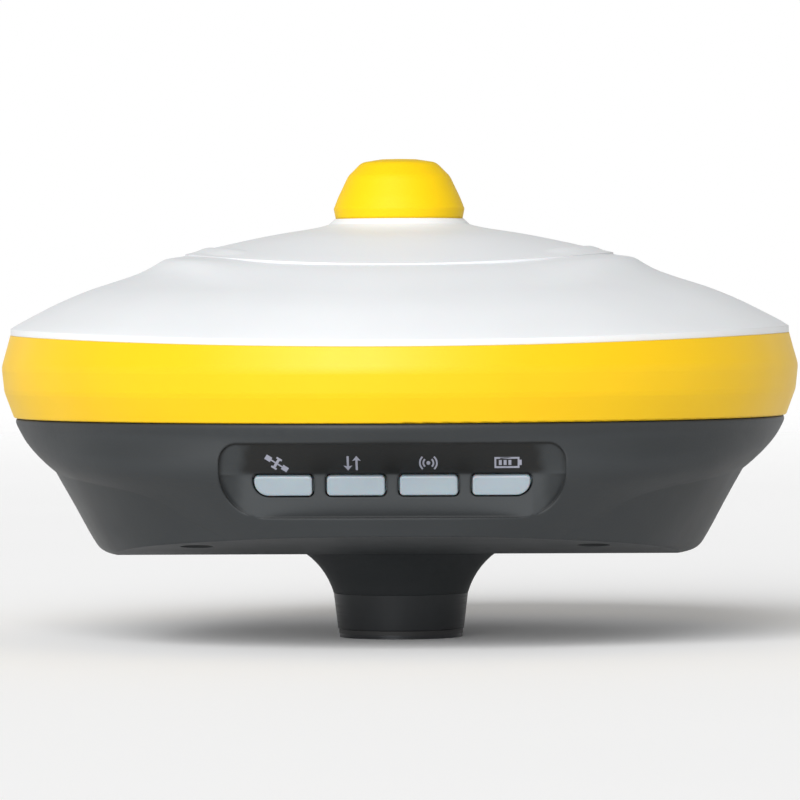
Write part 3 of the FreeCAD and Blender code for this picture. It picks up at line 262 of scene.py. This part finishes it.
MATERIALS = {
    "radome_white": moulded("radome_white", rgb(217, 219, 221), rgb(213, 215, 217), 0.55, 1600.0, 0.010,
                            edge=0.25, Subsurface_Weight=0.05, Subsurface_Scale=0.002),
    "bumper_yellow": moulded("bumper_yellow", rgb(226, 183, 1), rgb(222, 179, 1), 0.45, 1300.0, 0.010,
                             edge=0.3, Specular_IOR_Level=0.3,
                             Subsurface_Weight=0.05, Subsurface_Scale=0.002),
    "cap_yellow": moulded("cap_yellow", rgb(228, 189, 1), rgb(224, 184, 1), 0.55, 1500.0, 0.012,
                          edge=1.0, Specular_IOR_Level=0.2, Subsurface_Weight=0.05, Subsurface_Scale=0.002),
    # the housing's recess_reach turns on painted shade in recesses and on the tray's brow, and painted
    # light on the tray's face
    "housing_grey": moulded("housing_grey", rgb(47, 50, 52), rgb(43, 46, 48), 0.5, 1900.0, 0.022,
                            edge=0.7, recess_reach=14.0, Specular_IOR_Level=0.3),
    "rubber_black": moulded("rubber_black", rgb(28, 28, 29), rgb(33, 33, 34), 0.62, 1400.0, 0.010),
    "battery_black": moulded("battery_black", rgb(34, 35, 37), rgb(30, 31, 33), 0.48, 1500.0, 0.015),
    "ptfe_white": moulded("ptfe_white", rgb(226, 226, 220), rgb(218, 218, 212), 0.4, 900.0, 0.004),
    "ceramic": moulded("ceramic", rgb(206, 198, 178), rgb(214, 207, 190), 0.45, 1200.0, 0.008),
    "pcb_green": moulded("pcb_green", rgb(22, 92, 52), rgb(18, 84, 46), 0.32, 700.0, 0.006),
    "collar_black": turned_metal("collar_black", rgb(50, 52, 54), rgb(46, 48, 50), 0.36, 0.55),
    "steel_bright": turned_metal("steel_bright", rgb(205, 205, 203), rgb(190, 190, 190), 0.26),
    "brass": turned_metal("brass", rgb(214, 178, 96), rgb(198, 160, 84), 0.3),
    "contact_gold": turned_metal("contact_gold", rgb(232, 190, 96), rgb(222, 180, 90), 0.2),
    "shield_tin": turned_metal("shield_tin", rgb(196, 198, 196), rgb(184, 186, 184), 0.34),
    "port_metal": turned_metal("port_metal", rgb(150, 151, 153), rgb(138, 139, 141), 0.32),
}


def key_lens():
    """Pale translucent keys that let a little light through."""
    finish = Finish("key_lens", rgb(140, 152, 160), 0.38, Subsurface_Weight=0.35, Subsurface_Scale=0.0012,
                    Coat_Weight=0.15, Coat_Roughness=0.3)
    finish.soften(0.2)
    finish.vary_colour(finish.ranged(finish.noise(90.0), 0.0, 1.0), rgb(145, 157, 165))
    finish.vary_roughness(finish.noise(200.0, 2.0), 0.03)
    finish.bump(finish.noise(1500.0, 2.0), 0.006)
    return finish.material


def printed():
    """The screen-printed marks over the keys."""
    finish = Finish("print_lavender", rgb(148, 150, 164), 0.5)
    finish.vary_colour(finish.ranged(finish.noise(400.0), 0.0, 1.0), rgb(140, 142, 156))
    finish.bump(finish.noise(2500.0, 2.0), 0.004)
    return finish.material


MATERIALS["key_lens"] = key_lens()
PRINT = printed()

INSERT_STEEL = turned_metal("insert_steel", rgb(62, 63, 65), rgb(56, 57, 59), 0.3)
JACK_NICKEL = turned_metal("jack_nickel", rgb(200, 197, 186), rgb(190, 187, 176), 0.24)
OWN_MATERIALS = {"pole_insert": INSERT_STEEL, "antenna_jack": JACK_NICKEL}
SLOTS = {row["node"]: row["material_slot"] for row in frame["record"]["subparts"]}
for name, part in nodes.items():
    part.data.materials.clear()
    part.data.materials.append(OWN_MATERIALS.get(name, MATERIALS[SLOTS[name]]))


# --------------------------------------------------------------------------- mesh helpers
def mesh_piece(name, vertices, faces, material, body="body", smooth_angle=None):
    """A mesh object in metres that rides on a body."""
    mesh = bpy.data.meshes.new(name)
    mesh.from_pydata([tuple(v) for v in vertices], [], faces)
    mesh.update()
    piece = bpy.data.objects.new(name, mesh)
    bpy.context.scene.collection.objects.link(piece)
    mesh.materials.append(material)
    if smooth_angle is not None:
        for polygon in mesh.polygons:
            polygon.use_smooth = True
        mesh.set_sharp_from_angle(angle=math.radians(smooth_angle))
    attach(piece, body)
    return piece


def outward(piece):
    """Turn every face of a closed mesh to look outwards."""
    solid = bmesh.new()
    solid.from_mesh(piece.data)
    bmesh.ops.recalc_face_normals(solid, faces=solid.faces)
    solid.to_mesh(piece.data)
    solid.free()


# --------------------------------------------------------------------------- marks over the keys
RAY_START = -0.2


def first_hit(part, x, z):
    """The point, in metres, where a ray from the front meets a CAD node, and the normal there."""
    _, place, normal, _ = part.ray_cast(Vector((x, RAY_START, z)), Vector((0.0, 1.0, 0.0)))
    return place, normal


def strip(points, width):
    """The outline of a line of even width through points, as one polygon."""
    left, right = [], []
    for i, point in enumerate(points):
        before, after = points[max(i - 1, 0)], points[min(i + 1, len(points) - 1)]
        along = (Vector(after) - Vector(before)).normalized()
        across = Vector((-along.y, along.x)) * width / 2
        left.append(Vector(point) + across)
        right.append(Vector(point) - across)
    return left + right[::-1]


def rectangle(x, y, width, height, turn=0.0):
    """A rectangle about its centre, turned by an angle in degrees."""
    spin = Matrix.Rotation(math.radians(turn), 2)
    corners = ((-1, -1), (1, -1), (1, 1), (-1, 1))
    return [Vector((x, y)) + spin @ Vector((a * width / 2, b * height / 2)) for a, b in corners]


def arc(x, y, radius, start, end, steps=10):
    """Points along an arc between two angles in degrees."""
    angles = [math.radians(start + (end - start) * i / steps) for i in range(steps + 1)]
    return [(x + radius * math.cos(a), y + radius * math.sin(a)) for a in angles]


def satellite_mark():
    """A small craft with a panel on each side, leaning over."""
    lean = -33.0
    along = Matrix.Rotation(math.radians(lean), 2)
    craft = [(0, 0, 0.5, 1.7), (0, 0.98, 1.15, 0.34), (0, -0.98, 1.15, 0.34)]
    for way in (-1, 1):
        panel, arm = (1.82 * way, 0, 1.2, 0.95), (0.75 * way, 0, 0.94, 0.26)
        craft += [panel, arm]
    shapes = []
    for x, y, width, height in craft:
        middle = along @ Vector((x, y))
        shapes.append(rectangle(middle.x, middle.y, width, height, lean))
    return shapes


def arrows_mark():
    """One arrow down and one up, side by side."""
    spacing, shaft_width, shaft_length, shaft_shift = 0.82, 0.42, 2.3, 0.2
    head_half, head_tip, head_wing, head_notch = 0.8, 1.42, 0.45, 0.22
    shapes = []
    for x, way in ((-spacing, -1), (spacing, 1)):
        shapes.append(rectangle(x, -shaft_shift * way, shaft_width, shaft_length))
        tip, wing = head_tip * way, head_wing * way
        head = ((x - head_half, wing), (x, tip), (x + head_half, wing), (x, wing + head_notch * way))
        shapes.append([Vector(corner) for corner in head])
    return shapes


def waves_mark():
    """A dot with two arcs on each side of it: radio waves."""
    dot, line, half_angle = 0.36, 0.32, 48
    shapes = [[Vector(p) for p in arc(0, 0, dot, 0, 345, 14)]]
    for radius in (0.95, 1.6):
        for middle in (0, 180):
            points = arc(0, 0, radius, middle - half_angle, middle + half_angle)
            shapes.append(strip(points, line))
    return shapes


def battery_mark():
    """A cell in outline with a terminal on the right and three bars in it."""
    width, height, line = 4.7, 2.1, 0.34
    terminal_width, terminal_height = 0.42, 1.0
    bar_width, bar_height = 0.55, 0.95
    shapes = []
    for way in (-1, 1):
        shapes.append(rectangle(0, way * (height - line) / 2, width, line))
        shapes.append(rectangle(way * (width - line) / 2, 0, line, height - 2 * line))
    shapes.append(rectangle(width / 2 + 0.2, 0, terminal_width, terminal_height))
    for bar in (-1.25, -0.35, 0.55):
        shapes.append(rectangle(bar, 0, bar_width, bar_height))
    return shapes


def add_mark(name, shapes, x, z):
    """Print polygons, in millimetres about their middle, on the tray's brow over a key."""
    ink = 0.03 * MM
    vertices, faces = [], []
    for shape in shapes:
        start, count = len(vertices), len(shape)
        for lift in (ink, -ink):
            for corner in shape:
                place, normal = first_hit(nodes["lower_housing"], (x + corner.x) * MM, (z + corner.y) * MM)
                vertices.append(place + normal * lift)
        faces.append(list(range(start, start + count)))
        faces.append(list(range(start + 2 * count - 1, start + count - 1, -1)))
        for i in range(count):
            after = (i + 1) % count
            faces.append([start + after, start + i, start + count + i, start + count + after])
    outward(mesh_piece(name, vertices, faces, PRINT))


MARK_Z = 36.35
add_mark("mark_satellite", satellite_mark(), -21.7, MARK_Z)
add_mark("mark_data", arrows_mark(), -7.45, MARK_Z)
add_mark("mark_wireless", waves_mark(), 6.85, MARK_Z)
add_mark("mark_battery", battery_mark(), 21.6, MARK_Z)


# --------------------------------------------------------------------------- threads
ROOT_HALF = 0.416
CREST_HALF = 0.074
RUN_OUT_TURNS = 0.25
LEAST_HEIGHT = 0.03


def add_thread(name, root, crest, pitch, low, high, material):
    """The ridge of a thread as one closed helix, in millimetres; crest is its tip's radius.

    The ridge's half widths are shares of the pitch, and it fades out over RUN_OUT_TURNS at each end.
    """
    per_turn = 72
    steps = int((high - low) / pitch * per_turn)
    section = ((root, -ROOT_HALF), (crest, -CREST_HALF), (crest, CREST_HALF), (root, ROOT_HALF))
    vertices, faces = [], []
    for step in range(steps + 1):
        angle = 2 * math.pi * step / per_turn
        height = low + pitch * step / per_turn
        nearer_end = min(step, steps - step) / per_turn
        fade = max(LEAST_HEIGHT, min(1.0, nearer_end / RUN_OUT_TURNS))
        for radius, rise in section:
            reach = root + (radius - root) * fade
            vertices.append((reach * math.cos(angle) * MM, reach * math.sin(angle) * MM,
                             (height + rise * pitch * fade) * MM))
    for step in range(steps):
        here, there = 4 * step, 4 * step + 4
        for i in range(4):
            j = (i + 1) % 4
            faces.append([here + i, here + j, there + j, there + i])
    faces.append([3, 2, 1, 0])
    faces.append([4 * steps + i for i in range(4)])
    outward(mesh_piece(name, vertices, faces, material, smooth_angle=40))


INCH = 25.4
THREADS_PER_INCH = 11
add_thread("pole_thread", 7.97, 6.78, INCH / THREADS_PER_INCH, 1.3, 17.6, INSERT_STEEL)
add_thread("jack_thread", 5.46, 5.72, 0.907, 86.8, 91.4, JACK_NICKEL)


# --------------------------------------------------------------------------- stage, light and camera
PHOTO_DISTANCE = 1.25
PHOTO_HEIGHT = 0.068
PHOTO_AIM = Vector((0.0, 0.0, 0.0470))
PHOTO_TURN = math.radians(1.3)
PHOTO_ROLL = math.radians(-0.27)
PHOTO_LENS = 283.0
SENSOR_WIDTH = 36.0


def add_camera():
    """A long lens in front of the receiver, level with its dome."""
    data = bpy.data.cameras.new("camera")
    data.lens = PHOTO_LENS
    data.sensor_width = SENSOR_WIDTH
    data.clip_end = 20.0
    camera = bpy.data.objects.new("camera", data)
    bpy.context.scene.collection.objects.link(camera)
    place = Vector((PHOTO_DISTANCE * math.sin(PHOTO_TURN),
                    -PHOTO_DISTANCE * math.cos(PHOTO_TURN), PHOTO_HEIGHT))
    look = (PHOTO_AIM - place).to_track_quat("-Z", "Y").to_matrix().to_4x4()
    camera.matrix_world = Matrix.Translation(place) @ look @ Matrix.Rotation(PHOTO_ROLL, 4, "Z")
    bpy.context.scene.camera = camera


def add_sun(name, towards, strength, softness):
    """A broad soft light from far away; softness is the angle it fills, in degrees."""
    data = bpy.data.lights.new(name, "SUN")
    data.energy = strength
    data.angle = math.radians(softness)
    lamp = bpy.data.objects.new(name, data)
    bpy.context.scene.collection.objects.link(lamp)
    lamp.matrix_world = Vector(towards).to_track_quat("-Z", "Y").to_matrix().to_4x4()


def add_stage():
    """A pale floor that fades out a long way off, so that no horizon shows."""
    reach, fade_start, fade_end = 3.0, 0.5, 2.5
    corners = [(-reach, -reach, 0), (reach, -reach, 0), (reach, reach, 0), (-reach, reach, 0)]
    mesh = bpy.data.meshes.new("floor")
    mesh.from_pydata(corners, [], [(0, 1, 2, 3)])
    floor = bpy.data.objects.new("floor", mesh)
    bpy.context.scene.collection.objects.link(floor)
    finish = Finish("floor_pale", rgb(252, 252, 252), 0.9)
    finish.vary_colour(finish.ranged(finish.noise(3.0), 0.0, 1.0), rgb(250, 250, 250))
    distance = finish.tree.nodes.new("ShaderNodeVectorMath")
    distance.operation = "LENGTH"
    finish.link(finish.place, distance.inputs[0])
    opaque = smooth_step(finish, distance.outputs["Value"], 1.0, 0.0, fade_start, fade_end)
    finish.link(opaque, finish.shader.inputs["Alpha"])
    mesh.materials.append(finish.material)


def add_world():
    """White surroundings, full at the horizon and dimmer overhead, by the height of the direction."""
    dim_from, dim_to = 0.10, 0.5
    horizon_strength, overhead_strength = 1.0, 0.34
    world = bpy.data.worlds.new("surroundings")
    world.use_nodes = True
    tree = world.node_tree
    background = tree.nodes["Background"]
    background.inputs["Color"].default_value = (1.0, 1.0, 1.0, 1.0)
    direction = tree.nodes.new("ShaderNodeTexCoord")
    upward = tree.nodes.new("ShaderNodeSeparateXYZ")
    strength = tree.nodes.new("ShaderNodeMapRange")
    for key, value in (("From Min", dim_from), ("From Max", dim_to),
                       ("To Min", horizon_strength), ("To Max", overhead_strength)):
        strength.inputs[key].default_value = value
    tree.links.new(direction.outputs["Generated"], upward.inputs[0])
    tree.links.new(upward.outputs["Z"], strength.inputs["Value"])
    tree.links.new(strength.outputs[0], background.inputs["Strength"])
    bpy.context.scene.world = world


KEY_LIGHT_TOWARDS = (0.24, 0.85, -0.47)
KEY_LIGHT_STRENGTH = 3.5
KEY_LIGHT_SOFTNESS = 45.0

add_world()
add_stage()
add_camera()
add_sun("key", KEY_LIGHT_TOWARDS, KEY_LIGHT_STRENGTH, KEY_LIGHT_SOFTNESS)
bpy.context.scene.view_settings.view_transform = "Standard"
bpy.context.scene.view_settings.look = "None"
